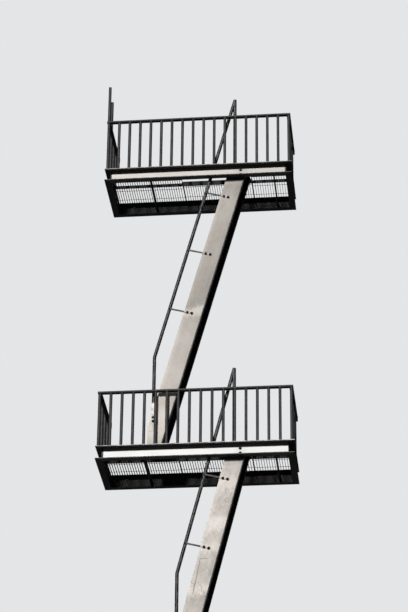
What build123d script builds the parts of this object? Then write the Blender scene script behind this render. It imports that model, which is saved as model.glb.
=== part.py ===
from build123d import *
import math
import os

# Fire escape stair: two steel balconies one above the other on a wall, and two steep flights.
# X runs along the wall, Y runs into it and Z is up. The wall's face is the plane y = 0.
# The origin is the middle of the lower balcony's rear channel, on the face bolted to the wall.
# All sizes are millimetres.

# Balcony frame: rolled channels, with their flanges turned outwards on the three free sides
storey_height = 3810.0
channel_height = 165.0
flange_width = 72.0
flange_thickness = 9.0
web_thickness = 8.0
wall_bolt_inset = 180.0
wall_bolt_spread = 84.0
wall_bolt_radius = 9.0

# Railing
rail_width = 2275.0
rail_depth = 895.0
rail_height = 710.0
rail_inset = 33.0
baluster_side = 32.0
top_rail_width = 46.0
top_rail_thickness = 24.0
front_gap_count = 17
side_gap_count = 4
wall_lug_size = 72.0
wall_lug_thickness = 8.0
lug_bolt_radius = 6.0
tall_post_rise = 520.0
second_post_rise = 440.0
second_post_gap_count = 1

# Floor: open bar grating that lies on the frame, in three panels round the stair hatch
grating_depth = 25.0
grating_bar = 3.0
grating_pitch = 30.0
panel_border = 5.0
panel_gap = 3.0
floor_front_seat = 14.0
floor_side_seat = 14.0
hatch_left = -234.0
hatch_end_gap = 12.0

# Members under the floor
tie_thickness = 10.0
tie_height = 100.0
left_tie_inset = 481.5
right_tie_inset = 153.5
bearer_thickness = 12.0
bearer_height = 40.0

# Flights
stair_top_x = 489.0
stair_width = 350.0
stringer_width = 222.0
stringer_flange = 55.0
stringer_flange_thickness = 9.0
stringer_web = 7.0
upper_lean = 74.9
lower_lean = 76.0
upper_riser_count = 16
lower_riser_count = 12
lower_riser = 231.0
toe_cut = 205.0
top_plate_thickness = 8.0
tread_going = 190.0
tread_plate = 5.0
tread_lip = 35.0

# Stair feet
foot_leg = 70.0
foot_thickness = 8.0
foot_length = 110.0
foot_bolt_radius = 7.0

# Handrails
pipe_radius = 21.0
pipe_gap = 0.3
handrail_offset = 305.0
handrail_bend_height = 1158.0
handrail_bend_radius = 110.0
handrail_tab_width = 40.0
handrail_tab_thickness = 6.0
handrail_tab_round = 2.5
handrail_tab_low = 290.0
handrail_edge_gap = 1.0
handrail_flattening = 95.0
post_setback = 33.0
peak_above_rail = 286.0
post_plate_side = 70.0
post_plate_thickness = 8.0

# Handrail brackets: bars bolted on the outer stringer's face
bracket_thickness = 6.0
bracket_bar = 20.0
bracket_reach = 10.0
bracket_first_drop = 367.0
upper_bracket_pitch = 806.0
lower_bracket_pitch = 853.0
upper_bracket_count = 3
lower_bracket_count = 2

# Places that follow from the sizes above
half_height = channel_height / 2
toe_x = rail_width / 2 + rail_inset
toe_y = -(rail_depth + rail_inset)
web_x = toe_x - flange_width
web_y = toe_y + flange_width
inner_x = web_x - web_thickness
inner_y = web_y + web_thickness
floor_bottom = half_height
floor_top = half_height + grating_depth
floor_front = web_y - floor_front_seat
floor_side = web_x + floor_side_seat
stair_front = inner_y
stair_back = stair_front + stair_width
bearer_front = stair_back
bearer_bottom = half_height - bearer_height
pipe_y = stair_front + pipe_gap + pipe_radius
post_x = stair_top_x - post_setback
post_foot = half_height + top_plate_thickness

os.makedirs("parts", exist_ok=True)


def save(piece, name):
    """Label a finished piece and write its STEP file."""
    piece.part.label = name
    export_step(piece.part, f"parts/{name}.step")


def channel_outline(height, width, flange, web):
    """Closed outline of a channel: web along the first axis's zero, flanges towards +x."""
    half = height / 2
    Polyline(
        (0, -half),
        (width, -half),
        (width, -half + flange),
        (web, -half + flange),
        (web, half - flange),
        (width, half - flange),
        (width, half),
        (0, half),
        close=True,
    )


def front_channel(level):
    """Front channel, web inside and flanges outwards, mitred at both corners."""
    start = Plane(origin=(-toe_x, inner_y, level), x_dir=(0, -1, 0), z_dir=(1, 0, 0))
    with BuildPart() as channel:
        with BuildSketch(start):
            with BuildLine():
                channel_outline(
                    channel_height, flange_width + web_thickness, flange_thickness, web_thickness
                )
            make_face()
        extrude(amount=2 * toe_x)
        for side in (-1, 1):
            mitre = Plane(origin=(side * toe_x, toe_y, level), z_dir=(side, 1, 0))
            split(bisect_by=mitre, keep=Keep.BOTTOM)
    return channel


def side_channel(level, side):
    """Side channel from the mitred front corner back to the wall."""
    start = Plane(origin=(side * inner_x, 0, level), x_dir=(side, 0, 0), z_dir=(0, -1, 0))
    with BuildPart() as channel:
        with BuildSketch(start):
            with BuildLine():
                channel_outline(
                    channel_height, flange_width + web_thickness, flange_thickness, web_thickness
                )
            make_face()
        extrude(amount=-toe_y)
        mitre = Plane(origin=(side * toe_x, toe_y, level), z_dir=(side, 1, 0))
        split(bisect_by=mitre, keep=Keep.TOP)
    return channel


def rear_channel(level):
    """Rear channel between the side channels, its web flat on the wall, with four bolt holes."""
    start = Plane(origin=(-inner_x, 0, level), x_dir=(0, -1, 0), z_dir=(1, 0, 0))
    with BuildPart() as channel:
        with BuildSketch(start):
            with BuildLine():
                channel_outline(channel_height, flange_width, flange_thickness, web_thickness)
            make_face()
        extrude(amount=2 * inner_x)
        with Locations(Location((0, -web_thickness / 2, level), (90, 0, 0))):
            with GridLocations(2 * (inner_x - wall_bolt_inset), wall_bolt_spread, 2, 2):
                Cylinder(wall_bolt_radius, 2 * web_thickness, mode=Mode.SUBTRACT)
    return channel


def tie(level, x):
    """Flat bar on edge from the front web to the rear web, under the bearer."""
    with BuildPart() as bar:
        with BuildSketch(Plane.XY.offset(level + bearer_bottom - tie_height)):
            with Locations((x, (inner_y - web_thickness) / 2)):
                Rectangle(tie_thickness, -web_thickness - inner_y)
        extrude(amount=tie_height)
    return bar


def bearer(level):
    """Flat bar on edge from side to side, which carries the floor behind the hatch."""
    with BuildPart() as bar:
        with BuildSketch(Plane.XY.offset(level + bearer_bottom)):
            with Locations((0, bearer_front + bearer_thickness / 2)):
                Rectangle(2 * inner_x, bearer_thickness)
        extrude(amount=bearer_height)
    return bar


def grating(level, x_low, x_high, y_low, y_high):
    """One panel of bar grating: bars square to the wall inside a border."""
    wide = x_high - x_low
    deep = y_high - y_low
    clear_wide = wide - 2 * panel_border
    gap_count = round(clear_wide / grating_pitch)
    gap_wide = (clear_wide - (gap_count - 1) * grating_bar) / gap_count
    middle = ((x_low + x_high) / 2, (y_low + y_high) / 2)
    with BuildPart() as panel:
        with BuildSketch(Plane.XY.offset(level + floor_bottom)):
            with Locations(middle):
                Rectangle(wide, deep)
                with GridLocations(gap_wide + grating_bar, deep, gap_count, 1):
                    Rectangle(gap_wide, deep - 2 * panel_border, mode=Mode.SUBTRACT)
        extrude(amount=grating_depth)
    return panel


def front_railing(level):
    """Front railing: square balusters from corner to corner under a flat top rail."""
    base = level + half_height
    pitch = rail_width / front_gap_count
    with BuildPart() as railing:
        with BuildSketch(Plane.XY.offset(base)):
            with Locations((0, -rail_depth)):
                with GridLocations(pitch, pitch, front_gap_count + 1, 1):
                    Rectangle(baluster_side, baluster_side)
        extrude(amount=rail_height - top_rail_thickness)
        with BuildSketch(Plane.XY.offset(base + rail_height - top_rail_thickness)):
            with Locations((0, -rail_depth)):
                Rectangle(rail_width + top_rail_width, top_rail_width)
        extrude(amount=top_rail_thickness)
    return railing


def side_railing(level, side):
    """Side railing from the front corner to a lug on the wall."""
    base = level + half_height
    pitch = rail_depth / side_gap_count
    rail_start = -rail_depth + top_rail_width / 2
    lug_middle = base + rail_height - top_rail_thickness / 2
    with BuildPart() as railing:
        with BuildSketch(Plane.XY.offset(base)):
            for step in range(1, side_gap_count):
                with Locations((side * rail_width / 2, -rail_depth + step * pitch)):
                    Rectangle(baluster_side, baluster_side)
        extrude(amount=rail_height - top_rail_thickness)
        with BuildSketch(Plane.XY.offset(base + rail_height - top_rail_thickness)):
            with Locations((side * rail_width / 2, rail_start / 2)):
                Rectangle(top_rail_width, -rail_start)
        extrude(amount=top_rail_thickness)
        with BuildSketch(Plane.XZ):
            with Locations((side * rail_width / 2, lug_middle)):
                Rectangle(top_rail_width, wall_lug_size)
                with GridLocations(wall_lug_size, wall_lug_size - top_rail_thickness, 1, 2):
                    Circle(lug_bolt_radius, mode=Mode.SUBTRACT)
        extrude(amount=wall_lug_thickness)
    return railing


def tall_posts(level):
    """Two bars that carry a corner baluster and a side baluster on above the left top rail."""
    base = level + half_height + rail_height
    pitch = rail_depth / side_gap_count
    with BuildPart() as posts:
        for step, rise in ((0, tall_post_rise), (second_post_gap_count, second_post_rise)):
            with BuildSketch(Plane.XY.offset(base)):
                with Locations((-rail_width / 2, -rail_depth + step * pitch)):
                    Rectangle(baluster_side, baluster_side)
            extrude(amount=rise)
    return posts


class Flight:
    """The sizes and places of one flight, worked out from its top, its foot and its lean."""

    def __init__(self, top_level, foot_z, lean, risers, bracket_pitch, bracket_count):
        self.top_level = top_level
        self.foot_z = foot_z
        self.angle = math.radians(lean)
        self.risers = risers
        self.riser = (top_level + floor_top - foot_z) / risers
        self.bracket_pitch = bracket_pitch
        self.bracket_count = bracket_count
        self.half_run = stringer_width / 2 / math.sin(self.angle)

    def middle(self, z):
        """X of the stringers' centre line at a height."""
        return stair_top_x - (self.top_level - z) / math.tan(self.angle)

    def edge_height(self, x):
        """Height at which the stringers' upper edge passes an X."""
        return self.top_level - (stair_top_x - self.half_run - x) * math.tan(self.angle)


def stringer(flight, face_y, inward):
    """Channel stringer, its web on face_y and its flanges turned inward, cut level at both ends."""
    top_z = flight.top_level + half_height
    top_x = flight.middle(top_z)
    foot_x = flight.middle(flight.foot_z)
    half = flight.half_run
    inner_half = half - stringer_flange_thickness / math.sin(flight.angle)
    toe_x_cut = foot_x - half + toe_cut / math.tan(flight.angle)
    cut_z = flight.foot_z + toe_cut
    past = stringer_width
    past_x = past / math.tan(flight.angle)
    with BuildPart() as channel:
        with BuildSketch(Plane.XZ.offset(-face_y)):
            with BuildLine():
                Polyline(
                    (top_x - half, top_z),
                    (top_x + half, top_z),
                    (foot_x + half, flight.foot_z),
                    (toe_x_cut, flight.foot_z),
                    (toe_x_cut, cut_z),
                    close=True,
                )
            make_face()
        extrude(amount=-inward * stringer_flange)
        with BuildSketch(Plane.XZ.offset(-face_y - inward * stringer_web)):
            with BuildLine():
                Polyline(
                    (top_x - inner_half + past_x, top_z + past),
                    (top_x + inner_half + past_x, top_z + past),
                    (foot_x + inner_half - past_x, flight.foot_z - past),
                    (foot_x - inner_half - past_x, flight.foot_z - past),
                    close=True,
                )
            make_face()
        extrude(amount=-inward * stringer_flange, mode=Mode.SUBTRACT)
    return channel


def treads(flight):
    """Folded plate treads between the webs, and the level plate across the stringers' tops."""
    inside = stair_width - 2 * stringer_web
    middle_y = (stair_front + stair_back) / 2
    with BuildPart() as steps:
        for count in range(1, flight.risers):
            top_z = flight.foot_z + count * flight.riser
            x = flight.middle(top_z - tread_lip / 2)
            with BuildSketch(Plane.XY.offset(top_z)):
                with Locations((x, middle_y)):
                    Rectangle(tread_going, inside)
            extrude(amount=-tread_lip)
            with BuildSketch(Plane.XY.offset(top_z - tread_plate)):
                with Locations((x, middle_y)):
                    Rectangle(tread_going - 2 * tread_plate, inside)
            extrude(amount=-tread_lip, mode=Mode.SUBTRACT)
        plate_z = flight.top_level + half_height
        with BuildSketch(Plane.XY.offset(plate_z)):
            with Locations((flight.middle(plate_z), middle_y)):
                Rectangle(2 * flight.half_run, stair_width)
        extrude(amount=top_plate_thickness)
    return steps


def foot_angles(flight):
    """Two angles that hold the stringers' feet down, bolted through their level legs."""
    foot_x = flight.middle(flight.foot_z)
    with BuildPart() as angles:
        for web_inside, inward in (
            (stair_front + stringer_web, 1),
            (stair_back - stringer_web, -1),
        ):
            start = Plane(
                origin=(foot_x - foot_length / 2, web_inside, flight.foot_z),
                x_dir=(0, inward, 0),
                z_dir=(inward, 0, 0),
            )
            with BuildSketch(start):
                with BuildLine():
                    Polyline(
                        (0, 0),
                        (foot_leg, 0),
                        (foot_leg, foot_thickness),
                        (foot_thickness, foot_thickness),
                        (foot_thickness, foot_leg),
                        (0, foot_leg),
                        close=True,
                    )
                make_face()
            extrude(amount=inward * foot_length)
            bolt_y = web_inside + inward * (foot_leg + foot_thickness) / 2
            with Locations((foot_x, bolt_y, flight.foot_z)):
                with GridLocations(foot_length / 2, foot_length, 2, 1):
                    Cylinder(foot_bolt_radius, 4 * foot_thickness, mode=Mode.SUBTRACT)
    return angles


def handrail(flight):
    """Outer handrail: a pipe beside the stringer, bent upright at its foot, and its top post."""
    peak_z = flight.top_level + half_height + rail_height + peak_above_rail
    bend_z = flight.foot_z + handrail_bend_height
    bend_x = flight.middle(bend_z) - handrail_offset
    low_z = flight.foot_z + handrail_tab_low
    flat_z = flight.edge_height(bend_x + pipe_radius + handrail_edge_gap)
    round_z = flat_z + handrail_flattening
    tab_y = stair_front - handrail_tab_thickness / 2
    post_base = flight.top_level + post_foot + post_plate_thickness
    with BuildPart() as rail:
        with BuildLine() as path:
            FilletPolyline(
                (bend_x, pipe_y, round_z),
                (bend_x, pipe_y, bend_z),
                (post_x, pipe_y, peak_z),
                radius=handrail_bend_radius,
            )
        with BuildSketch(Plane(origin=path.line @ 0, z_dir=path.line % 0)):
            Circle(pipe_radius)
        sweep()
        with BuildSketch(Plane.XY.offset(flat_z)):
            with Locations((bend_x, tab_y)):
                RectangleRounded(handrail_tab_width, handrail_tab_thickness, handrail_tab_round)
        with BuildSketch(Plane.XY.offset(round_z)):
            with Locations((bend_x, pipe_y)):
                Circle(pipe_radius)
        loft()
        with BuildSketch(Plane.XY.offset(low_z)):
            with Locations((bend_x, tab_y)):
                RectangleRounded(handrail_tab_width, handrail_tab_thickness, handrail_tab_round)
        extrude(amount=flat_z - low_z)
        with BuildSketch(Plane.XY.offset(post_base)):
            with Locations((post_x, pipe_y)):
                Circle(pipe_radius)
        extrude(amount=peak_z - post_base)
        with BuildSketch(Plane.XY.offset(flight.top_level + post_foot)):
            with Locations((post_x, stair_front + post_plate_side / 2)):
                Rectangle(post_plate_side, post_plate_side)
        extrude(amount=post_plate_thickness)
    return rail


def brackets(flight):
    """Flat bars square to the stringer, from bolts on its face out to the handrail."""
    lean = math.degrees(flight.angle)
    bar_length = handrail_offset * math.sin(flight.angle) + 2 * bracket_reach
    with BuildPart() as bars:
        for count in range(flight.bracket_count):
            z = flight.top_level - bracket_first_drop - count * flight.bracket_pitch
            x = flight.middle(z)
            with BuildSketch(Plane.XZ.offset(-stair_front)):
                with Locations(Location((x, z), lean - 90)):
                    with Locations((-bar_length / 2 + bracket_reach / 2, 0)):
                        Rectangle(bar_length, bracket_bar)
            extrude(amount=bracket_thickness)
    return bars


upper_flight = Flight(
    storey_height, floor_top, upper_lean, upper_riser_count, upper_bracket_pitch, upper_bracket_count
)
lower_flight = Flight(
    0.0,
    floor_top - lower_riser_count * lower_riser,
    lower_lean,
    lower_riser_count,
    lower_bracket_pitch,
    lower_bracket_count,
)

hatch_right = upper_flight.middle(storey_height + half_height) + upper_flight.half_run + hatch_end_gap
hatch_rear = bearer_front + panel_gap

for name, level in (("lower", 0.0), ("upper", storey_height)):
    save(front_channel(level), f"{name}_front_channel")
    save(rear_channel(level), f"{name}_rear_channel")
    save(side_channel(level, -1), f"{name}_left_channel")
    save(side_channel(level, 1), f"{name}_right_channel")
    save(tie(level, left_tie_inset - inner_x), f"{name}_left_tie")
    save(tie(level, inner_x - right_tie_inset), f"{name}_right_tie")
    save(bearer(level), f"{name}_mid_bearer")
    save(grating(level, -floor_side, hatch_left - panel_gap, floor_front, -panel_gap), f"{name}_floor_left")
    save(grating(level, hatch_right + panel_gap, floor_side, floor_front, -panel_gap), f"{name}_floor_right")
    save(grating(level, hatch_left, hatch_right, hatch_rear, -panel_gap), f"{name}_floor_rear")
    save(front_railing(level), f"{name}_front_railing")
    save(side_railing(level, -1), f"{name}_left_railing")
    save(side_railing(level, 1), f"{name}_right_railing")

save(tall_posts(storey_height), "upper_tall_posts")

for name, flight in (("upper", upper_flight), ("lower", lower_flight)):
    save(stringer(flight, stair_front, 1), f"{name}_outer_stringer")
    save(stringer(flight, stair_back, -1), f"{name}_inner_stringer")
    save(treads(flight), f"{name}_treads")
    save(foot_angles(flight), f"{name}_foot_angles")
    save(handrail(flight), f"{name}_handrail")
    save(brackets(flight), f"{name}_handrail_brackets")
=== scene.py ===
"""The looks of the fire escape stair: paint, grime, bolts and weld beads round the fixed frame.

X runs along the wall, Y into it and Z up, in metres. The lower balcony's rear face is at the origin.
"""

import math

import bmesh
import bpy
from mathutils import Matrix, Vector


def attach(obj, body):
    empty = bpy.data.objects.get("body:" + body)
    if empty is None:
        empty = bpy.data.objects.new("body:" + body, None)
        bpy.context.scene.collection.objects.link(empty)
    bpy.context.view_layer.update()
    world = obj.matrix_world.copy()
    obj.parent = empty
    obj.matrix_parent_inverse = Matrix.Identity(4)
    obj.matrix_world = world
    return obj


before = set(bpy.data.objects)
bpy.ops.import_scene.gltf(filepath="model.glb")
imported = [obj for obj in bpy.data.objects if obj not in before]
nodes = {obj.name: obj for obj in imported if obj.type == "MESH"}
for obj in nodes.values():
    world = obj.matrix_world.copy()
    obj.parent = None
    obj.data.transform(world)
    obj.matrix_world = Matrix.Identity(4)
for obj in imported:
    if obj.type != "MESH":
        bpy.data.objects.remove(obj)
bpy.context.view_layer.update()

# Sizes repeated from the solids
STOREY = 3.81
LEVELS = {"lower": 0.0, "upper": STOREY}
FLANGE_TOP = 0.0825
FLANGE_TOE_Y = -0.928
FRONT_WEB_Y = -0.856
STAIR_FRONT = -0.848
STAIR_BACK = -0.498
STRINGER_WEB = 0.007
RAIL_HALF = 1.1375
RAIL_DEPTH = 0.895
RAIL_HEIGHT = 0.71
RAIL_THICKNESS = 0.024
BALUSTER = 0.032
LUG_BOLT_HALF = 0.024
FRONT_GAPS = 17
SIDE_GAPS = 4
TALL_POST_STEPS = (0, 1)
STAIR_TOP_X = 0.489
STRINGER_HALF = 0.111
BRACKET_FACE_Y = STAIR_FRONT - 0.006
BRACKET_BOLT_OFFSETS = (0.014, 0.070)
BEND_RISE = 1.158
HANDRAIL_OFFSET = 0.305
PIPE_EDGE = 0.022
REAR_WEB_Y = -0.008
WALL_BOLT_X = 0.9105
WALL_BOLT_HALF = 0.042
LUG_FACE_Y = -0.008
FOOT_BOLT_HALF = 0.0275
FOOT_LEG_MIDDLE = 0.039
FOOT_LEG_THICKNESS = 0.008
FLOOR_TOP = 0.1075
FLOOR_REAR = -0.008
FLOOR_PANELS = ((-1.1085, -0.241, -0.866), (0.6452, 1.1085, -0.866), (-0.230, 0.6342, -0.491))
RISER_COUNTS = {"upper": 16, "lower": 12}
TREAD_LIP_HALF = 0.0175
TREAD_PLATE = 0.005

# Top level, foot height, lean in degrees, first bracket's drop, bracket pitch, bracket count
FLIGHTS = {
    "upper": (STOREY, 0.1075, 74.9, 0.367, 0.806, 3),
    "lower": (0.0, -2.6645, 76.0, 0.367, 0.853, 2),
}

# Sizes of what is added here
ROD_PITCH = 0.2
ROD_SIDE = 0.006
ROD_TWIST = 0.06
ROD_DROP = 0.0055
WEB_BOLT_X = 0.531
WEB_BOLT_RISES = (0.019, -0.039)
TAB_BOLT_RISES = (0.350, 0.305)
TREAD_WELD_LENGTH = 0.15
TREAD_WELD_LEG = 0.006

# Bolt heads, across their flats
WEB_BOLT = 0.022
WALL_BOLT = 0.027
LUG_BOLT = 0.017
STRINGER_BOLT = 0.020
PIPE_BOLT = 0.013
TAB_BOLT = 0.020
FOOT_BOLT = 0.022

FRONT = (0, -1, 0)
UP = (0, 0, 1)


def stringer_x(flight, z):
    """X of a flight's centre line at a height."""
    top, _, lean, _, _, _ = FLIGHTS[flight]
    return STAIR_TOP_X - (top - z) / math.tan(math.radians(lean))


def bracket_direction(flight):
    """Unit vector along a flight's brackets, from the handrail to the stringer."""
    lean = math.radians(FLIGHTS[flight][2])
    return Vector((math.sin(lean), 0, -math.cos(lean)))


def bracket_middles(flight):
    """Points on the brackets' faces over the stringer's centre line."""
    top, _, _, first, pitch, count = FLIGHTS[flight]
    heights = [top - first - step * pitch for step in range(count)]
    return [Vector((stringer_x(flight, z), BRACKET_FACE_Y, z)) for z in heights]


def bolt_points(flight):
    """Places of the bracket bolts on a stringer's face."""
    along = bracket_direction(flight)
    return [middle - along * offset for middle in bracket_middles(flight) for offset in BRACKET_BOLT_OFFSETS]


def tab_x(flight):
    """X of the handrail's upright foot."""
    return stringer_x(flight, FLIGHTS[flight][1] + BEND_RISE) - HANDRAIL_OFFSET


def tab_top(flight):
    """Height at which the handrail's pipe leaves the stringer's edge, and its flattened foot ends."""
    top, _, lean, _, _, _ = FLIGHTS[flight]
    lean = math.radians(lean)
    return top - (STAIR_TOP_X - STRINGER_HALF / math.sin(lean) - tab_x(flight) - PIPE_EDGE) * math.tan(lean)


class Shader:
    """A material's node tree with short ways to add what the finishes need."""

    def __init__(self, name, specular=0.5):
        self.material = bpy.data.materials.new(name)
        self.material.use_nodes = True
        self.tree = self.material.node_tree
        self.tree.nodes.clear()
        out = self.tree.nodes.new("ShaderNodeOutputMaterial")
        self.bsdf = self.tree.nodes.new("ShaderNodeBsdfPrincipled")
        self.bsdf.inputs["Specular IOR Level"].default_value = specular
        self.link(self.bsdf.outputs["BSDF"], out.inputs["Surface"])
        self.coords = self.tree.nodes.new("ShaderNodeTexCoord").outputs["Object"]
        self.axes = self.split(self.coords)

    def link(self, source, target):
        """Join an output to an input, or set the input where the source is a plain value."""
        if isinstance(source, bpy.types.NodeSocket):
            self.tree.links.new(source, target)
        else:
            target.default_value = source

    def split(self, vector):
        """X, Y and Z of a vector."""
        node = self.tree.nodes.new("ShaderNodeSeparateXYZ")
        self.link(vector, node.inputs["Vector"])
        return node.outputs

    def mapped(self, stretch, turn):
        """Object coordinates turned about Y and then scaled."""
        rotate = self.tree.nodes.new("ShaderNodeMapping")
        rotate.inputs["Rotation"].default_value = (0, turn, 0)
        self.link(self.coords, rotate.inputs["Vector"])
        scale = self.tree.nodes.new("ShaderNodeVectorMath")
        scale.operation = "MULTIPLY"
        self.link(rotate.outputs["Vector"], scale.inputs[0])
        scale.inputs[1].default_value = stretch
        return scale.outputs["Vector"]

    def noise(self, scale, stretch=(1, 1, 1), turn=0.0, detail=6.0, roughness=0.6, distortion=0.0):
        """Noise as a value about 0.5."""
        node = self.tree.nodes.new("ShaderNodeTexNoise")
        self.link(self.mapped(stretch, turn), node.inputs["Vector"])
        node.inputs["Scale"].default_value = scale
        node.inputs["Detail"].default_value = detail
        node.inputs["Roughness"].default_value = roughness
        node.inputs["Distortion"].default_value = distortion
        return node.outputs["Fac"]

    def cracks(self, scale, width, wander, turn=0.0):
        """1 on thin wandering lines, the borders of irregular cells, and 0 elsewhere."""
        push = self.tree.nodes.new("ShaderNodeTexNoise")
        self.link(self.mapped((1, 1, 1), turn), push.inputs["Vector"])
        push.inputs["Scale"].default_value = 2 * scale
        push.inputs["Detail"].default_value = 5.0
        shift = self.tree.nodes.new("ShaderNodeVectorMath")
        shift.operation = "MULTIPLY_ADD"
        self.link(push.outputs["Color"], shift.inputs[0])
        shift.inputs[1].default_value = (wander, wander, wander)
        self.link(self.mapped((1, 1, 1), turn), shift.inputs[2])
        cells = self.tree.nodes.new("ShaderNodeTexVoronoi")
        cells.feature = "DISTANCE_TO_EDGE"
        cells.inputs["Scale"].default_value = scale
        self.link(shift.outputs["Vector"], cells.inputs["Vector"])
        return self.ramp(cells.outputs["Distance"], 0.0, width * scale, 1.0, 0.0)

    def ramp(self, value, low, high, out_low=0.0, out_high=1.0):
        """A smooth step of a value between two limits."""
        node = self.tree.nodes.new("ShaderNodeMapRange")
        node.interpolation_type = "SMOOTHSTEP"
        self.link(value, node.inputs["Value"])
        node.inputs["From Min"].default_value = low
        node.inputs["From Max"].default_value = high
        node.inputs["To Min"].default_value = out_low
        node.inputs["To Max"].default_value = out_high
        return node.outputs["Result"]

    def math(self, operation, a, b=0.0):
        """One sum of two values."""
        node = self.tree.nodes.new("ShaderNodeMath")
        node.operation = operation
        self.link(a, node.inputs[0])
        self.link(b, node.inputs[1])
        return node.outputs["Value"]

    def total(self, values):
        """The values added up."""
        result = values[0]
        for value in values[1:]:
            result = self.math("ADD", result, value)
        return result

    def swing(self, noise, reach):
        """Noise turned into a value about 0."""
        return self.math("MULTIPLY", self.math("SUBTRACT", noise, 0.5), reach)

    def mix(self, amount, a, b):
        """Colour a turning into colour b."""
        node = self.tree.nodes.new("ShaderNodeMix")
        node.data_type = "RGBA"
        self.link(amount, node.inputs["Factor"])
        for value, socket in ((a, node.inputs[6]), (b, node.inputs[7])):
            self.link((*value, 1.0) if isinstance(value, tuple) else value, socket)
        return node.outputs[2]

    def facing_front(self):
        """1 on faces turned to the front, -Y, and 0 elsewhere."""
        normal = self.tree.nodes.new("ShaderNodeNewGeometry").outputs["True Normal"]
        return self.math("LESS_THAN", self.split(normal)["Y"], -0.8)

    def near(self, point, low, high):
        """1 close to a point, falling to 0 between two distances."""
        node = self.tree.nodes.new("ShaderNodeVectorMath")
        node.operation = "DISTANCE"
        self.link(self.coords, node.inputs[0])
        node.inputs[1].default_value = point
        return self.ramp(node.outputs["Value"], low, high, 1.0, 0.0)

    def finish(self, colour, roughness, relief, strength, depth):
        """Join a colour, a roughness and small relief to the shader."""
        self.link(colour, self.bsdf.inputs["Base Color"])
        self.link(roughness, self.bsdf.inputs["Roughness"])
        bump = self.tree.nodes.new("ShaderNodeBump")
        bump.inputs["Strength"].default_value = strength
        bump.inputs["Distance"].default_value = depth
        self.link(relief, bump.inputs["Height"])
        self.link(bump.outputs["Normal"], self.bsdf.inputs["Normal"])
        return self.material


# Dark paint: its deep and worn tones, the dust on it and the rust through it
BLACK = (0.008, 0.008, 0.009)
CHARCOAL = (0.019, 0.019, 0.021)
DUST = (0.055, 0.052, 0.048)
RUST = (0.050, 0.022, 0.012)
# The grey of the painted highlight on the railings' front faces
RAIL_HIGHLIGHT_GREY = (0.105, 0.107, 0.113)
SCALE_GREY = (0.115, 0.115, 0.117)
DULL_GLOSS = 0.14
PIPE_GLOSS = 0.25

# Pale paint: the greyest and whitest tones of each face, and what stains it. The lower level's webs are
# painted whiter than the upper ones': painted sheen.
STRINGER_TONES = {
    "upper": ((0.270, 0.244, 0.218), (0.680, 0.625, 0.570)),
    "lower": ((0.290, 0.264, 0.238), (0.780, 0.724, 0.670)),
}
WEB_TONES = {
    "upper": ((0.430, 0.400, 0.372), (0.700, 0.656, 0.612)),
    "lower": ((0.660, 0.650, 0.640), (0.930, 0.926, 0.916)),
}
STAIN = (0.235, 0.195, 0.160)
SCRATCH = (0.120, 0.105, 0.090)

# Where the pale faces turn black: a short way in from the webs' ends; across the webs' upper margin, a
# painted shadow of the top flange; along the stringers' right edge, painted shade; and across their tops, a
# painted shadow of the front channel's bottom flange
WEB_ENDS = {"upper": (-1.086, 1.081), "lower": (-1.079, 1.092)}
WEB_END_FADE = 0.004
WEB_FLANGE_SHADOW = (0.026, 0.040)
EDGE_SHADE_WIDTH = 0.010
SHADOW_DROP = 0.1415

# The bent scratch on the lower stringer: its bend, its level part's end, its slant, fading and edges
SCRATCH_BEND = (-0.080, -1.345)
SCRATCH_END = (0.0, 0.02)
SCRATCH_SLANT = 0.07
SCRATCH_FADE = (-0.46, -0.38)
SCRATCH_EDGE = (0.003, 0.008)
SCRATCH_STRENGTH = 0.65

# How pale each stringer's face is, from 0 to 1, with bands at heights that are paler or greyer by an amount.
# The lower flight's higher paleness and the bands are partly worn patches and partly painted sheen, which
# also whitens the upper flight towards its foot.
STRINGER_PALENESS = {"upper": 0.36, "lower": 0.52}
STRINGER_BANDS = {
    "upper": (
        (3.56, 0.12, -0.20),
        (2.76, 0.20, -0.06),
        (2.20, 0.40, -0.12),
        (1.98, 0.09, -0.14),
        (1.85, 0.09, 0.34),
        (1.35, 0.50, 0.16),
        (0.80, 0.45, 0.22),
        (0.34, 0.34, 0.50),
    ),
    "lower": (
        (-0.14, 0.08, -0.10),
        (-0.42, 0.14, 0.22),
        (-0.91, 0.13, 0.30),
        (-1.01, 0.06, 0.12),
        (-1.22, 0.08, 0.20),
        (-1.36, 0.10, -0.06),
        (-1.48, 0.12, -0.12),
        (-1.70, 0.09, 0.28),
        (-1.86, 0.16, -0.14),
        (-2.30, 0.30, 0.20),
    ),
}


def dark_colour(shader, dust_amount=0.5, rust_amount=0.4):
    """Old black paint: cloudy, dusty in patches and rusty in small spots."""
    cloud = shader.noise(3.5)
    grain = shader.noise(60.0, roughness=0.7)
    spots = shader.noise(22.0, roughness=0.75, distortion=0.6)
    colour = shader.mix(shader.ramp(cloud, 0.35, 0.65), BLACK, CHARCOAL)
    colour = shader.mix(shader.ramp(grain, 0.5, 0.75, 0.0, dust_amount), colour, DUST)
    return shader.mix(shader.ramp(spots, 0.60, 0.70, 0.0, rust_amount), colour, RUST), grain


def dark_paint(name, roughness=0.62, **look):
    """A finish of old black paint all over."""
    shader = Shader(name, DULL_GLOSS)
    colour, grain = dark_colour(shader, **look)
    rough = shader.ramp(grain, 0.3, 0.7, roughness - 0.08, roughness + 0.12)
    return shader.finish(colour, rough, grain, 0.35, 0.0006)


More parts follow.
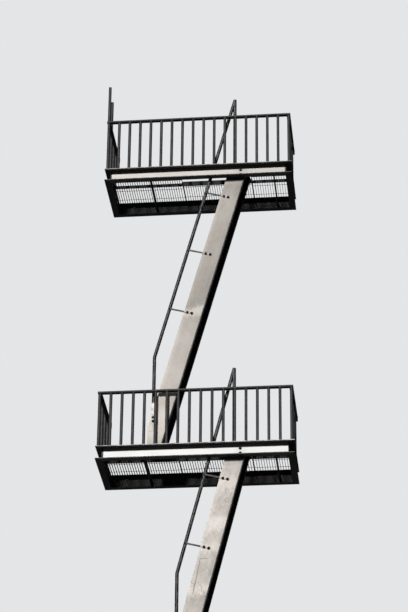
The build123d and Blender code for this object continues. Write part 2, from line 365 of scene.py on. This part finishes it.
def rail_paint():
    """Black paint on the railings, with a painted highlight: a grey line along the middle of each bar's
    front face and along the top rail's front face.
    """
    shader = Shader("rail_finish", DULL_GLOSS)
    dark, grain = dark_colour(shader, dust_amount=0.25, rust_amount=0.2)
    pitch = 2 * RAIL_HALF / FRONT_GAPS
    place = shader.math("DIVIDE", shader.math("ADD", shader.axes["X"], RAIL_HALF), pitch)
    off_bar = shader.math("ABSOLUTE", shader.math("SUBTRACT", place, shader.math("ROUND", place)))
    # Painted highlight: a grey line down the middle of each bar's front face
    middle = shader.ramp(off_bar, 0.10 * BALUSTER / pitch, 0.22 * BALUSTER / pitch, 1.0, 0.0)

    on_upper = shader.math("GREATER_THAN", shader.axes["Z"], STOREY - 1.0)
    height = shader.math("SUBTRACT", shader.axes["Z"], shader.math("MULTIPLY", on_upper, STOREY))
    # Painted highlight along the top rail's front face, near its upper edge
    highlight_height = FLANGE_TOP + RAIL_HEIGHT - 0.25 * RAIL_THICKNESS
    off_rail = shader.math("ABSOLUTE", shader.math("SUBTRACT", height, highlight_height))
    rail_highlight = shader.ramp(off_rail, 0.15 * RAIL_THICKNESS, 0.32 * RAIL_THICKNESS, 1.0, 0.0)

    # The painted highlight lies on front faces only and is patchy
    painted_highlight = shader.math("MULTIPLY", shader.math("MAXIMUM", middle, rail_highlight), shader.facing_front())
    highlight_patchiness = shader.ramp(shader.noise(11.0, roughness=0.7), 0.35, 0.65, 0.55, 1.0)
    colour = shader.mix(shader.math("MULTIPLY", painted_highlight, highlight_patchiness), dark, RAIL_HIGHLIGHT_GREY)
    return shader.finish(colour, shader.ramp(grain, 0.3, 0.7, 0.58, 0.74), grain, 0.3, 0.0004)


def across_stringer(shader, flight):
    """Distance of a point from the stringer's centre line, along X."""
    top, _, lean, _, _, _ = FLIGHTS[flight]
    slope = 1 / math.tan(math.radians(lean))
    line = shader.math("MULTIPLY", shader.math("SUBTRACT", shader.axes["Z"], top), slope)
    return shader.math("SUBTRACT", shader.math("SUBTRACT", shader.axes["X"], STAIR_TOP_X), line)


def bent_scratch(shader, across, height):
    """A thin scratch that runs level from the stringer's middle and then down along its edge."""
    bend_across, bend_height = SCRATCH_BEND
    under = shader.math("SUBTRACT", height, bend_height)
    slant = shader.math("MULTIPLY", under, SCRATCH_SLANT)
    beside = shader.math("ADD", shader.math("SUBTRACT", across, bend_across), slant)
    level_part = shader.ramp(shader.math("ABSOLUTE", under), *SCRATCH_EDGE, 1.0, 0.0)
    level_part = shader.math("MULTIPLY", level_part, shader.ramp(across, bend_across - 0.003, bend_across))
    level_part = shader.math("MULTIPLY", level_part, shader.ramp(across, *SCRATCH_END, 1.0, 0.0))
    low_part = shader.ramp(shader.math("ABSOLUTE", beside), *SCRATCH_EDGE, 1.0, 0.0)
    low_part = shader.math("MULTIPLY", low_part, shader.ramp(under, *SCRATCH_FADE))
    low_part = shader.math("MULTIPLY", low_part, shader.ramp(under, 0.0, 0.004, 1.0, 0.0))
    return shader.math("MULTIPLY", shader.math("MAXIMUM", level_part, low_part), SCRATCH_STRENGTH)


def stringer_paint(flight):
    """Pale worn paint on the stringer's outer face, cracked and stained, with painted shade along its right
    edge and a painted shadow across its top, and dark elsewhere: partly dark paint and partly painted shade.
    """
    top, foot, lean, _, _, _ = FLIGHTS[flight]
    worn = flight == "lower"
    shader = Shader(f"{flight}_stringer_finish")
    turn = math.radians(lean) - math.pi / 2
    height = shader.axes["Z"]
    across = across_stringer(shader, flight)
    cloud = shader.noise(5.0, (1, 1, 0.7), turn)
    mottle = shader.noise(24.0, (1, 1, 0.6), turn, 7.0, 0.72, 0.5)
    streak = shader.noise(1.0, (34.0, 1, 1.6), turn, 6.0, 0.65)
    grain = shader.noise(85.0, roughness=0.75)

    wandering = shader.total([height, shader.swing(cloud, 0.20), shader.swing(mottle, 0.16)])
    tones = [STRINGER_PALENESS[flight], shader.swing(cloud, 0.35)]
    tones.append(shader.swing(mottle, 0.8 if worn else 0.3))
    for z, reach, gain in STRINGER_BANDS[flight]:
        off_band = shader.math("ABSOLUTE", shader.math("SUBTRACT", wandering, z))
        tones.append(shader.ramp(off_band, 0.2 * reach, reach, gain, 0.0))
    tones.append(shader.ramp(across, -STRINGER_HALF, -0.5 * STRINGER_HALF, 0.14, 0.0))
    tones.append(shader.ramp(across, 0.2 * STRINGER_HALF, STRINGER_HALF, 0.0, -0.10))
    tones.append(shader.swing(grain, 0.25))
    grey, white = STRINGER_TONES[flight]
    colour = shader.mix(shader.ramp(shader.total(tones), 0.0, 1.0), grey, white)

    low = shader.ramp(height, foot + 0.10, foot + 0.60, 0.35, 0.0)
    blotch = shader.noise(12.0, (1, 1, 0.8), turn, 8.0, 0.72, 0.8)
    amount = shader.math("ADD", low, 0.30 if worn else 0.08)
    colour = shader.mix(shader.math("MULTIPLY", shader.ramp(blotch, 0.55, 0.70), amount), colour, STAIN)
    colour = shader.mix(shader.ramp(streak, 0.54, 0.72, 0.0, 0.32 if worn else 0.16), colour, STAIN)
    lines = shader.math("MULTIPLY", shader.cracks(7.0, 0.006, 0.16, turn), shader.ramp(cloud, 0.42, 0.6))
    colour = shader.mix(shader.math("MULTIPLY", lines, 0.5 if worn else 0.12), colour, SCRATCH)
    colour = shader.mix(shader.ramp(grain, 0.66, 0.76, 0.0, 0.30), colour, SCRATCH)
    if worn:
        colour = shader.mix(bent_scratch(shader, across, height), colour, SCRATCH)
    for point in bolt_points(flight):
        colour = shader.mix(shader.math("MULTIPLY", shader.near(point, 0.012, 0.028), 0.35), colour, STAIN)
    # Painted shade: black along a narrow margin at the face's right edge
    edge = STRINGER_HALF / math.sin(math.radians(lean)) - EDGE_SHADE_WIDTH
    colour = shader.mix(shader.ramp(across, edge - 0.003, edge + 0.001), colour, BLACK)
    # Painted shadow of the front channel's bottom flange: black across the stringer's top
    shade = top - SHADOW_DROP
    colour = shader.mix(shader.ramp(height, shade - 0.004, shade + 0.006), colour, BLACK)

    dark, _ = dark_colour(shader)
    relief = shader.math("ADD", shader.math("MULTIPLY", grain, 0.4), cloud)
    # Dark on all faces but the front one: partly dark paint and partly painted shade
    colour = shader.mix(shader.facing_front(), dark, colour)
    return shader.finish(colour, shader.ramp(cloud, 0.3, 0.7, 0.50, 0.66), relief, 0.3, 0.0012)


def front_web_paint(level_name):
    """Pale paint on the front channel's web with a painted shadow of the top flange across its upper margin;
    dark on its other faces, partly dark paint and partly painted shade; and a pale line on the top flange's
    toe, partly rubbed paint and partly painted highlight.
    """
    level = LEVELS[level_name]
    shader = Shader(f"{level_name}_front_channel_finish")
    front = shader.facing_front()
    cloud = shader.noise(3.2, (1, 1, 2))
    brushed = shader.noise(1.0, (3.0, 1, 130.0), roughness=0.65)
    grain = shader.noise(85.0, roughness=0.75)

    weak = 1.0 if level_name == "upper" else 0.4
    tones = [0.85, shader.swing(cloud, weak), shader.swing(brushed, 0.9 * weak), shader.swing(grain, 0.3)]
    tones.append(shader.ramp(shader.axes["X"], -0.2, 0.8, 0.0, -0.25 * weak))
    tones.append(shader.ramp(shader.axes["X"], -1.10, -0.70, 0.1, 0.0))
    joint = (WEB_BOLT_X, FRONT_WEB_Y, level + sum(WEB_BOLT_RISES) / 2)
    tones.append(shader.math("MULTIPLY", shader.near(joint, 0.03, 0.12), -0.25))
    grey, white = WEB_TONES[level_name]
    web = shader.mix(shader.ramp(shader.total(tones), 0.0, 1.0), grey, white)
    web = shader.mix(shader.ramp(grain, 0.68, 0.76, 0.0, 0.35), web, SCRATCH)
    # Painted shadow of the top flange: black across the web's upper margin
    shadow_low, shadow_high = WEB_FLANGE_SHADOW
    painted_flange_shadow = shader.ramp(shader.axes["Z"], level + shadow_low, level + shadow_high, 0.0, 0.9)
    web = shader.mix(painted_flange_shadow, web, BLACK)
    left, right = WEB_ENDS[level_name]
    left_end = shader.ramp(shader.axes["X"], left - WEB_END_FADE, left + WEB_END_FADE, 1.0, 0.0)
    right_end = shader.ramp(shader.axes["X"], right - WEB_END_FADE, right + WEB_END_FADE)
    web = shader.mix(shader.math("MAXIMUM", left_end, right_end), web, BLACK)

    dark, _ = dark_colour(shader)
    behind_toes = shader.math("GREATER_THAN", shader.axes["Y"], FRONT_WEB_Y - 0.004)
    # Dark on all faces but the web's front face: partly dark paint and partly painted shade
    colour = shader.mix(shader.math("MULTIPLY", front, behind_toes), dark, web)
    # A pale line on the top flange's toe: partly rubbed paint and partly painted highlight
    toe = shader.math("LESS_THAN", shader.axes["Y"], FLANGE_TOE_Y + 0.002)
    top = shader.ramp(shader.axes["Z"], level, level + 0.01, 0.08, 1.0)
    rubbed_and_highlit = shader.ramp(shader.noise(9.0, (1, 1, 0.3), roughness=0.7), 0.40, 0.60, 0.25, 0.9)
    for limit in (toe, top, front):
        rubbed_and_highlit = shader.math("MULTIPLY", rubbed_and_highlit, limit)
    colour = shader.mix(rubbed_and_highlit, colour, grey)
    return shader.finish(colour, shader.ramp(cloud, 0.3, 0.7, 0.50, 0.64), grain, 0.3, 0.0008)


def bracket_paint(flight):
    """Brackets: pale over the stringer's face and dark outside it."""
    _, _, lean, _, _, _ = FLIGHTS[flight]
    shader = Shader(f"{flight}_bracket_finish")
    edge = -STRINGER_HALF / math.sin(math.radians(lean))
    on_face = shader.ramp(across_stringer(shader, flight), edge - 0.002, edge + 0.004)
    cloud = shader.noise(9.0, roughness=0.65)
    pale = shader.mix(shader.ramp(cloud, 0.3, 0.7, 0.25, 0.75), *STRINGER_TONES[flight])
    dark, grain = dark_colour(shader)
    colour = shader.mix(on_face, dark, pale)
    return shader.finish(colour, shader.ramp(cloud, 0.3, 0.7, 0.50, 0.64), grain, 0.3, 0.0006)


def handrail_paint(flight):
    """Glossy black paint on the pipe, scaly in places, worn pale where its foot lies on the stringer."""
    shader = Shader(f"{flight}_handrail_finish", PIPE_GLOSS)
    scale = shader.noise(40.0, (1, 1, 0.6), roughness=0.6, distortion=0.5)
    dark, _ = dark_colour(shader, dust_amount=0.25, rust_amount=0.2)
    flaked = shader.mix(shader.ramp(scale, 0.50, 0.60, 0.0, 0.75), dark, SCALE_GREY)
    cloud = shader.noise(14.0, roughness=0.7)
    pale = shader.mix(shader.ramp(cloud, 0.45, 0.62), STRINGER_TONES["lower"][1], STAIN)
    ragged = shader.math("ADD", shader.axes["Z"], shader.swing(cloud, 0.12))
    on_tab = shader.ramp(ragged, tab_top(flight) - 0.02, tab_top(flight) + 0.02, 1.0, 0.0)
    colour = shader.mix(on_tab, flaked, pale)
    return shader.finish(colour, shader.ramp(scale, 0.4, 0.65, 0.34, 0.55), scale, 0.4, 0.0008)


frame_dark_and_shade = dark_paint("frame_paint_and_shade_finish")
rail_dark = rail_paint()
grating_dark = dark_paint("grating_finish", dust_amount=0.8)
steel_dark = dark_paint("steel_finish")
bolt_dark = dark_paint("bolt_finish", roughness=0.55, rust_amount=0.8)


def finish_of(name):
    """The finish for a node of the frame."""
    level, _, kind = name.partition("_")
    if kind == "front_channel":
        return front_web_paint(level)
    if kind == "outer_stringer":
        return stringer_paint(level)
    if kind == "handrail":
        return handrail_paint(level)
    if kind == "handrail_brackets":
        return bracket_paint(level)
    # The side and rear channels are dark all over: partly dark paint and partly painted shade on their webs
    if kind.endswith("channel"):
        return frame_dark_and_shade
    if kind.endswith("railing") or kind == "tall_posts":
        return rail_dark
    if kind.startswith("floor"):
        return grating_dark
    return steel_dark


for name, node in nodes.items():
    finish = finish_of(name)
    for slot in node.material_slots:
        slot.material = finish


def add_rings(mesh, rings):
    """Skin over rings of equally many points, with a face across each end."""
    loops = [[mesh.verts.new(point) for point in ring] for ring in rings]
    count = len(loops[0])
    for low, high in zip(loops, loops[1:]):
        for side in range(count):
            after = (side + 1) % count
            mesh.faces.new((low[side], low[after], high[after], high[side]))
    mesh.faces.new(list(reversed(loops[0])))
    mesh.faces.new(loops[-1])


def add_prism(mesh, centre, axis, radius, length, sides, taper=1.0, turn=0.0):
    """A prism or frustum from a centre along an axis."""
    rotation = Vector(UP).rotation_difference(Vector(axis)).to_matrix().to_4x4()
    place = Matrix.Translation(centre) @ rotation @ Matrix.Rotation(turn, 4, "Z")
    angles = [2 * math.pi * side / sides for side in range(sides)]
    rings = []
    for height, reach in ((0.0, radius), (length, radius * taper)):
        rings.append([place @ Vector((reach * math.cos(a), reach * math.sin(a), height)) for a in angles])
    add_rings(mesh, rings)


def add_bolt(mesh, centre, axis, across):
    """A washer, a hexagon head with a chamfered rim, and the end of its thread."""
    step = Vector(axis) * across
    centre = Vector(centre)
    turn = (centre.x * 37.0 + centre.z * 23.0) % math.pi
    add_prism(mesh, centre, axis, across * 0.85, across * 0.09, 24)
    add_prism(mesh, centre + step * 0.09, axis, across * 0.577, across * 0.33, 6, 1.0, turn)
    add_prism(mesh, centre + step * 0.42, axis, across * 0.577, across * 0.07, 6, 0.86, turn)
    add_prism(mesh, centre + step * 0.49, axis, across * 0.3, across * 0.12, 16, 0.85)


def add_bead(mesh, x, y, z, up):
    """A weld bead round a square bar's end, narrower away from the joint."""
    half = BALUSTER / 2
    corners = ((-1, -1), (1, -1), (1, 1), (-1, 1))
    rings = []
    for swell, rise in ((0.0045, 0.0), (0.0031, 0.0022), (0.0004, 0.0055)):
        reach = half + swell
        rings.append([(x + a * reach, y + b * reach, z + up * rise) for a, b in corners])
    add_rings(mesh, rings)


def add_twisted_rod(mesh, start, length):
    """A square rod along X, twisted as it goes, as the cross rods of bar grating are."""
    steps = round(length / ROD_TWIST * 8)
    rings = []
    for step in range(steps + 1):
        angles = [math.pi / 4 * step + math.pi / 2 * corner for corner in range(4)]
        x = start[0] + length * step / steps
        reach = ROD_SIDE / 2
        rings.append([(x, start[1] + reach * math.cos(a), start[2] + reach * math.sin(a)) for a in angles])
    add_rings(mesh, rings)


def add_fillet(mesh, x, length, y, z, inward, size):
    """A weld fillet along X in the corner under a tread, where it meets a stringer's web."""
    steps = 24
    rings = []
    for step in range(steps + 1):
        along = x + length * (step / steps - 0.5)
        leg = size * (1.0 + 0.18 * math.sin(step * 2.1))
        slope = 0.62 * leg
        profile = ((0.0, 0.0), (leg, 0.0), (slope, slope), (0.0, leg))
        rings.append([(along, y + inward * out, z - down) for out, down in profile])
    add_rings(mesh, rings)


def finish_piece(mesh, name, material):
    """Turn a bmesh into a piece of the object that rides on its one body."""
    bmesh.ops.recalc_face_normals(mesh, faces=mesh.faces)
    data = bpy.data.meshes.new(name)
    mesh.to_mesh(data)
    mesh.free()
    data.materials.append(material)
    piece = bpy.data.objects.new(name, data)
    bpy.context.scene.collection.objects.link(piece)
    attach(piece, "root")


def bolt_piece(name, centres, axis, across):
    """One piece of like bolts."""
    bolts = bmesh.new()
    for centre in centres:
        add_bolt(bolts, centre, axis, across)
    finish_piece(bolts, name, bolt_dark)


def railing_welds(level_name, level):
    """Weld beads at the balusters' feet and heads, and at the feet of the tall posts."""
    beads = bmesh.new()
    foot = level + FLANGE_TOP
    head = foot + RAIL_HEIGHT - RAIL_THICKNESS
    front_pitch = 2 * RAIL_HALF / FRONT_GAPS
    side_pitch = RAIL_DEPTH / SIDE_GAPS
    places = [(-RAIL_HALF + step * front_pitch, -RAIL_DEPTH) for step in range(FRONT_GAPS + 1)]
    for side in (-1, 1):
        places += [(side * RAIL_HALF, -RAIL_DEPTH + step * side_pitch) for step in range(1, SIDE_GAPS)]
    for x, y in places:
        add_bead(beads, x, y, foot, 1)
        add_bead(beads, x, y, head, -1)
    if level_name == "upper":
        for step in TALL_POST_STEPS:
            add_bead(beads, -RAIL_HALF, -RAIL_DEPTH + step * side_pitch, foot + RAIL_HEIGHT, 1)
    finish_piece(beads, f"{level_name}_railing_welds", rail_dark)


def floor_rods(level_name, level):
    """Twisted cross rods let into the tops of the grating bars."""
    rods = bmesh.new()
    for x_low, x_high, y_low in FLOOR_PANELS:
        rows = round((FLOOR_REAR - y_low) / ROD_PITCH)
        for row in range(rows):
            y = y_low + (row + 0.5) * (FLOOR_REAR - y_low) / rows
            add_twisted_rod(rods, (x_low, y, level + FLOOR_TOP - ROD_DROP), x_high - x_low)
    finish_piece(rods, f"{level_name}_floor_cross_rods", grating_dark)


def tread_welds(flight, top, foot):
    """Weld fillets under both ends of each tread."""
    welds = bmesh.new()
    risers = RISER_COUNTS[flight]
    rise = (top + FLOOR_TOP - foot) / risers
    for step in range(1, risers):
        z = foot + step * rise
        x = stringer_x(flight, z - TREAD_LIP_HALF)
        for y, inward in ((STAIR_FRONT + STRINGER_WEB, 1), (STAIR_BACK - STRINGER_WEB, -1)):
            add_fillet(welds, x, TREAD_WELD_LENGTH, y, z - TREAD_PLATE, inward, TREAD_WELD_LEG)
    finish_piece(welds, f"{flight}_tread_welds", steel_dark)


for level_name, level in LEVELS.items():
    web_bolts = [(WEB_BOLT_X, FRONT_WEB_Y, level + rise) for rise in WEB_BOLT_RISES]
    bolt_piece(f"{level_name}_front_channel_bolts", web_bolts, FRONT, WEB_BOLT)
    wall_bolts = []
    lug_bolts = []
    lug = level + FLANGE_TOP + RAIL_HEIGHT - RAIL_THICKNESS / 2
    for side in (-1, 1):
        wall_bolts += [(side * WALL_BOLT_X, REAR_WEB_Y, level + end * WALL_BOLT_HALF) for end in (-1, 1)]
        lug_bolts += [(side * RAIL_HALF, LUG_FACE_Y, lug + end * LUG_BOLT_HALF) for end in (-1, 1)]
    bolt_piece(f"{level_name}_wall_bolts", wall_bolts, FRONT, WALL_BOLT)
    bolt_piece(f"{level_name}_railing_lug_bolts", lug_bolts, FRONT, LUG_BOLT)
    railing_welds(level_name, level)
    floor_rods(level_name, level)

for flight, (top, foot, lean, _, _, _) in FLIGHTS.items():
    bracket_bolts = bmesh.new()
    for point in bolt_points(flight):
        add_bolt(bracket_bolts, point, FRONT, STRINGER_BOLT)
    pipe_reach = HANDRAIL_OFFSET * math.sin(math.radians(lean))
    for middle in bracket_middles(flight):
        add_bolt(bracket_bolts, middle - bracket_direction(flight) * pipe_reach, FRONT, PIPE_BOLT)
    finish_piece(bracket_bolts, f"{flight}_bracket_bolts", bolt_dark)

    tab_bolts = [(tab_x(flight), BRACKET_FACE_Y, foot + rise) for rise in TAB_BOLT_RISES]
    bolt_piece(f"{flight}_handrail_foot_bolts", tab_bolts, FRONT, TAB_BOLT)

    leg_reach = STRINGER_WEB + FOOT_LEG_MIDDLE
    foot_x = stringer_x(flight, foot)
    foot_bolts = []
    for y in (STAIR_FRONT + leg_reach, STAIR_BACK - leg_reach):
        foot_bolts += [(foot_x + end * FOOT_BOLT_HALF, y, foot + FOOT_LEG_THICKNESS) for end in (-1, 1)]
    bolt_piece(f"{flight}_foot_bolts", foot_bolts, UP, FOOT_BOLT)
    tread_welds(flight, top, foot)


# Stage, light and camera
BACKDROP = (0.78, 0.785, 0.795)
FLOOR_Z = -13.5
FLOOR_HALF = 150.0
FLOOR_SEEN = (0.62, 0.62, 0.62)
FLOOR_UNSEEN = (0.16, 0.16, 0.16)
FLOOR_GLOW = (0.245, 0.25, 0.26)
WORLD_GLOW = (0.97, 0.98, 1.0)
WORLD_STRENGTH = 0.085
SUNWARD = (0.17, 1.0, -0.55)
SUN_COLOUR = (1.0, 0.99, 0.975)
SUN_SPREAD = math.radians(5.0)
KEY_ENERGY = 3.1
BACK_ENERGY = 1.8
EYE = (2.56288, -24.89869, -11.09793)
EYE_RIGHT = (0.99518929, 0.09756822, 0.00887237)
EYE_UP = (0.0385076, -0.47282628, 0.88031385)
EYE_BACK = (0.09008575, -0.87573726, -0.47430877)


def make_floor():
    """A wide pale floor far below, which throws little light up at the object."""
    mesh = bmesh.new()
    for x, y in ((-1, -1), (1, -1), (1, 1), (-1, 1)):
        mesh.verts.new((x * FLOOR_HALF, y * FLOOR_HALF, FLOOR_Z))
    mesh.faces.new(mesh.verts)
    data = bpy.data.meshes.new("floor")
    mesh.to_mesh(data)
    mesh.free()
    floor = bpy.data.objects.new("floor", data)
    bpy.context.scene.collection.objects.link(floor)
    shader = Shader("floor_finish", 0.1)
    seen = shader.tree.nodes.new("ShaderNodeLightPath").outputs["Is Camera Ray"]
    shader.link(shader.mix(seen, FLOOR_UNSEEN, FLOOR_SEEN), shader.bsdf.inputs["Base Color"])
    shader.link(shader.mix(seen, (0, 0, 0), FLOOR_GLOW), shader.bsdf.inputs["Emission Color"])
    shader.bsdf.inputs["Emission Strength"].default_value = 1.0
    shader.bsdf.inputs["Roughness"].default_value = 0.9
    data.materials.append(shader.material)


def make_world():
    """Even pale light, with the plain backdrop's colour where the camera sees it."""
    world = bpy.data.worlds.new("studio")
    bpy.context.scene.world = world
    world.use_nodes = True
    tree = world.node_tree
    tree.nodes.clear()
    out = tree.nodes.new("ShaderNodeOutputWorld")
    path = tree.nodes.new("ShaderNodeLightPath")
    glow = tree.nodes.new("ShaderNodeBackground")
    glow.inputs["Color"].default_value = (*WORLD_GLOW, 1.0)
    glow.inputs["Strength"].default_value = WORLD_STRENGTH
    seen = tree.nodes.new("ShaderNodeBackground")
    seen.inputs["Color"].default_value = (*BACKDROP, 1.0)
    seen.inputs["Strength"].default_value = 1.0
    mix = tree.nodes.new("ShaderNodeMixShader")
    tree.links.new(path.outputs["Is Camera Ray"], mix.inputs["Fac"])
    tree.links.new(glow.outputs["Background"], mix.inputs[1])
    tree.links.new(seen.outputs["Background"], mix.inputs[2])
    tree.links.new(mix.outputs["Shader"], out.inputs["Surface"])


def make_sun(name, energy, along):
    """A soft distant lamp whose light travels along a direction."""
    sun = bpy.data.lights.new(name, "SUN")
    sun.energy = energy
    sun.angle = SUN_SPREAD
    sun.color = SUN_COLOUR
    lamp = bpy.data.objects.new(name, sun)
    lamp.rotation_mode = "QUATERNION"
    lamp.rotation_quaternion = Vector(along).to_track_quat("-Z", "Y")
    bpy.context.scene.collection.objects.link(lamp)


def make_camera():
    """The photograph's viewpoint: far below the object, a little to its right."""
    camera = bpy.data.cameras.new("camera")
    camera.sensor_width = 36.0
    camera.lens = 133.70
    camera.clip_end = 400.0
    eye = bpy.data.objects.new("camera", camera)
    turn = Matrix((EYE_RIGHT, EYE_UP, EYE_BACK)).transposed().to_4x4()
    eye.matrix_world = Matrix.Translation(EYE) @ turn
    bpy.context.scene.collection.objects.link(eye)
    bpy.context.scene.camera = eye


make_floor()
make_world()
make_sun("key", KEY_ENERGY, SUNWARD)
make_sun("back_light", BACK_ENERGY, EYE_BACK)
make_camera()
bpy.context.scene.view_settings.view_transform = "Standard"
